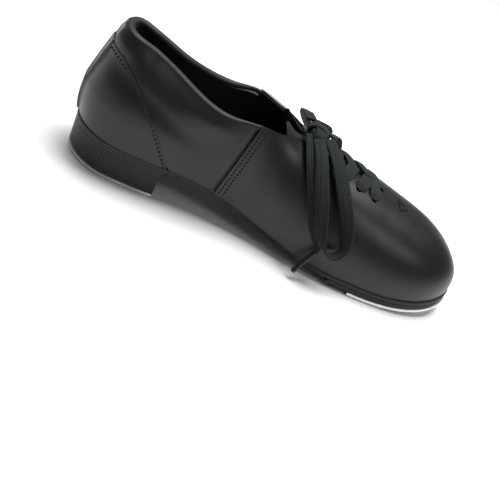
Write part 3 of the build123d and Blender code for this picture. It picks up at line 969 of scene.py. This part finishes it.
def under_vamp(row_x, side, count=30):
    """The hidden stretch of the lace, from a hole to the slit below the next row."""
    s = np.linspace(0, 1, count)
    x = row_x + (8.0 - ROW_GAP) * s
    y = side * (HOLE_Y + (1.5 - HOLE_Y) * s)
    points = over(x, y, np.full(count, -VAMP_WALL - 1.0))
    return strap(points, np.cross(plan_normal(x, y), np.gradient(points, axis=0)), np.full(count, 7.0), 1.4)


def make_lacing():
    """The bar across the first row, then a crossing pair for each row behind it."""
    flat = LACE_THICKNESS / 2 + 0.15
    front = ROW_PLACES[0]
    straps = [laid((front, -HOLE_Y), (front, HOLE_Y), 0.0, (flat, flat + 0.2, flat), 1.6, 1.6)]
    for row, row_x in enumerate(ROW_PLACES[1:]):
        for side in SIDES:
            start, end = (row_x + 8.0, -side * 2.2), (row_x - 0.3, side * HOLE_Y)
            high = flat + (2.0 if (side > 0) == (row % 2 == 0) else 0.0)
            straps.append(laid(start, end, 1.0, (high, flat + 0.5, flat), 3.4, 1.6))
    straps += [under_vamp(row_x, side) for row_x in ROW_PLACES for side in SIDES]
    lacing = join_straps("woven_lacing", straps)
    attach(lacing, "rear_shoe")
    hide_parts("lacing")


def nurbs(name, route):
    """The line a cord follows, as an even set of millimetre points."""
    data = bpy.data.curves.new(name, "CURVE")
    data.dimensions = "3D"
    data.resolution_u = 12
    spline = data.splines.new("NURBS")
    spline.points.add(len(route) - 1)
    for point, place in zip(spline.points, route):
        point.co = (*(np.array(place) * MM + ORIGIN), 1.0)
    spline.order_u = 3
    spline.use_endpoint_u = True
    obj = bpy.data.objects.new(name, data)
    bpy.context.scene.collection.objects.link(obj)
    bpy.context.view_layer.update()
    mesh = bpy.data.meshes.new_from_object(obj)
    line = np.array([tuple(v.co) for v in mesh.vertices])
    bpy.data.objects.remove(obj)
    bpy.data.meshes.remove(mesh)
    return even((line - ORIGIN) / MM, max(40, int(len(route) * 12)))


def hanging(name, node, route, twists, lean, widths=None):
    """A free lace along its route, turned about its line by angles at even shares of its length."""
    line = nurbs(name + "_line", route)
    s = np.linspace(0, 1, len(line))
    run = unit(np.gradient(line, axis=0))
    out = np.stack([0 * s, line[:, 1] * lean, line[:, 2] - 22], -1)
    out = unit(out - run * np.sum(out * run, axis=1, keepdims=True))
    flat_axis = np.cross(out, run)
    turn = np.radians(np.interp(s, np.linspace(0, 1, len(twists)), twists))
    turn = smoothed(turn)[:, None]
    axis = flat_axis * np.cos(turn) + out * np.sin(turn)
    wide = np.full(len(line), LACE_WIDTH)
    if widths is not None:
        wide = LACE_WIDTH * np.interp(s, np.linspace(0, 1, len(widths)), widths)
    obj = join_straps(name, [strap(line, axis, wide)])
    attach(obj, "rear_shoe")
    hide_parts(node)


def aglet(name, node, route):
    """The hard tip of a lace: a crimped sleeve with rounded ends."""
    end = np.array(route[-1], float)
    run = unit(end - np.array(route[-2], float))
    side_axis = unit(np.cross(run, [0, 1.0, 0]))
    up_axis = np.cross(run, side_axis)
    profile = [
        (0.0, -1.0), (1.3, -1.0), (1.65, -0.4), (1.7, 0.5), (1.6, 6),
        (1.62, 12), (1.7, 16.8), (1.45, 17.7), (0.9, 18), (0.0, 18),
    ]
    count = 28
    vertices = []
    for radius, along in profile:
        for turn in np.linspace(0, 2 * np.pi, count, endpoint=False):
            vertices.append(end + run * along + radius * (side_axis * np.cos(turn) + up_axis * np.sin(turn)))
    faces = around_faces(len(profile), count)
    obj = mesh_object(name, vertices, faces, "aglet_plastic")
    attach(obj, "rear_shoe")
    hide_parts(node)
    return obj


LOOP_INNER = [
    (140, -6, 75), (144, -16, 71.5), (150, -29, 59.5), (158, -39.5, 44), (164, -44, 31),
    (170, -46.5, 24), (177, -47.5, 23.5), (181, -46.5, 29.5), (179, -43, 39), (173, -38, 49),
    (166.5, -31, 57.5), (160, -20, 66), (153.5, -9, 71.5), (149, -3, 74),
]
END_INNER = [
    (136, -7, 74), (138.5, -16, 69), (145.5, -27.5, 57.5), (153, -35.5, 43.5), (160.5, -40, 31),
    (167.5, -43, 22.5), (166, -44.2, 19.5),
]
LOOP_OUTER = [
    (136, 9, 76), (134, 20, 76), (136, 33, 70), (142, 46, 60), (150, 58, 48), (158, 64, 39),
    (164, 62, 41), (162, 53, 50), (158, 41, 61), (151, 28, 69.5), (143, 10, 76.5),
]
END_OUTER = [(149, 6, 73), (155.5, 17, 69.5), (162, 29, 64.5), (168, 41, 56), (174, 51, 44), (180, 58, 33)]

make_lacing()
aglet_inner = aglet("tip_inner", "aglet_inner", END_INNER)
aglet_outer = aglet("tip_outer", "aglet_outer", END_OUTER)
LOOP_TWISTS = {
    "inner": [0, 0, 5, 10, 35, 90, 140, 160, 170, 175, 180],
    "outer": [0, 0, 10, 35, 80, 120, 150, 170, 180, 180],
}
END_WIDTHS = [1, 1, 1, 1, 0.9, 0.42]
hanging("bow_loop_inner", "lace_loop_inner", LOOP_INNER, LOOP_TWISTS["inner"], 1.6)
hanging("bow_loop_outer", "lace_loop_outer", LOOP_OUTER, LOOP_TWISTS["outer"], 1.0)
hanging(
    "bow_end_inner", "lace_end_inner", END_INNER, [0, 0, 15, 20, 10, 0], 1.6,
    END_WIDTHS,
)
hanging(
    "bow_end_outer", "lace_end_outer", END_OUTER, [0, 0, 10, 15, 10, 0], 1.0,
    END_WIDTHS,
)

# The knot leans forwards with the instep
KNOT = np.array([141.0, 1.0, 73.9])
TILT = np.radians(11.0)
KNOT_X = np.array([np.cos(TILT), 0, -np.sin(TILT)])
KNOT_Y = np.array([0, 1.0, 0])
KNOT_Z = np.array([np.sin(TILT), 0, np.cos(TILT)])


def wrap(centre, first, second, third, size_a, size_b, start, end, twist=0.0, width=LACE_WIDTH):
    """A lace wrapped part of the way round the knot, its width along the third axis."""
    turn = np.radians(np.linspace(start, end, 64))[:, None]
    points = centre + first * size_a * np.cos(turn) + second * size_b * np.sin(turn) + third * twist * turn
    return strap(points, np.broadcast_to(third, points.shape), np.full(64, width), 1.9)


def make_knot():
    """One lace wrapped round the roots of the loops and ends."""
    near, far = KNOT - KNOT_Y * 3.6, KNOT + KNOT_Y * 3.6
    straps = [
        wrap(KNOT, KNOT_X, KNOT_Z, KNOT_Y + 0.25 * KNOT_X, 6.6, 4.3, -110, 300, 0.25),
        wrap(far, KNOT_Y, KNOT_Z, KNOT_X - 0.3 * KNOT_Y, 6.0, 3.1, -160, 150),
        wrap(near, KNOT_Y, KNOT_Z, KNOT_X + 0.3 * KNOT_Y, 6.0, 3.1, 30, 340),
        wrap(KNOT + KNOT_Z * 0.2, KNOT_Y, KNOT_Z, KNOT_X, 7.0, 1.4, 0, 355, 0.0, 11.0),
        wrap(KNOT - KNOT_Z * 2.2 + KNOT_X * 1.5, KNOT_Y, KNOT_Z, KNOT_X, 7.5, 1.2, 0, 355, 0.0, 14.0),
    ]
    knot = join_straps("bow_knot", straps)
    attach(knot, "rear_shoe")
    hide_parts("lace_knot")


make_knot()

# ---------------------------------------------------------------- carried-over parts
for node, name in (
    ("heel_counter", "stiffener_board"),
    ("toe_puff", "stiffener_board"),
    ("shank", "steel"),
    ("heel_nails", "steel"),
    ("heel_tap_screws", "steel"),
    ("toe_tap_screws", "steel"),
):
    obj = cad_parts[node]
    obj.data.materials.clear()
    obj.data.materials.append(materials[name])
# The CAD solids that a piece stands for are hidden, and take the leather too
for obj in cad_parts.values():
    if obj.hide_render:
        obj.data.materials.clear()
        obj.data.materials.append(materials["leather"])

# ---------------------------------------------------------------- the set
scene = bpy.context.scene


def make_floor(half_size=3.0, cells=12):
    _, nodes, links, node = shader("floor_white", (0.86, 0.86, 0.86), 0.7)
    paper = texture(nodes, links, "ShaderNodeTexNoise", 30.0)
    bump(nodes, links, node, paper.outputs["Fac"], 0.02, 0.0005)
    steps = np.linspace(-half_size, half_size, cells + 1)
    points = [(x, y, -0.0004) for x in steps for y in steps]
    mesh = bpy.data.meshes.new("floor")
    mesh.from_pydata(points, [], grid_faces(cells + 1, cells + 1).tolist())
    mesh.materials.append(materials["floor_white"])
    floor = bpy.data.objects.new("floor", mesh)
    scene.collection.objects.link(floor)


def make_world():
    world = bpy.data.worlds.new("studio")
    world.use_nodes = True
    background = world.node_tree.nodes["Background"]
    background.inputs["Color"].default_value = (1.0, 1.0, 1.0, 1)
    background.inputs["Strength"].default_value = 0.15
    scene.world = world
    scene.view_settings.view_transform = "Standard"


def area_light(name, place, target, size_x, size_y, power):
    data = bpy.data.lights.new(name, "AREA")
    data.shape = "RECTANGLE"
    data.size, data.size_y = size_x, size_y
    data.energy = power
    obj = bpy.data.objects.new(name, data)
    obj.location = place
    obj.rotation_euler = (Vector(target) - Vector(place)).to_track_quat("-Z", "Y").to_euler()
    scene.collection.objects.link(obj)


make_floor()
make_world()
area_light("overhead", (0.05, 0.35, 1.5), (0, 0, 0), 1.3, 0.9, 42.0)
area_light("side_box", (0.9, -0.9, 1.1), (0.03, 0, 0.04), 0.5, 0.5, 3.0)

# Camera: the way it faces, and its place from the back of the heel in millimetres
RIGHT = Vector((0.8887, 0.0040, 0.4585)).normalized()
FORWARD = Vector((0.2531, 0.8296, -0.4978)).normalized()
CAMERA_PLACE = Vector((-20.3, -537.3, 299.1))
SENSOR, LENS = 36.0, 69.6528


def make_camera():
    data = bpy.data.cameras.new("camera")
    data.sensor_width = SENSOR
    data.lens = LENS
    camera = bpy.data.objects.new("camera", data)
    up = RIGHT.cross(FORWARD).normalized()
    turned = Matrix((RIGHT, up, -FORWARD)).transposed().to_4x4()
    camera.matrix_world = Matrix.Translation(CAMERA_PLACE * MM + Vector(ORIGIN)) @ turned
    scene.collection.objects.link(camera)
    scene.camera = camera


make_camera()

bpy.context.view_layer.update()
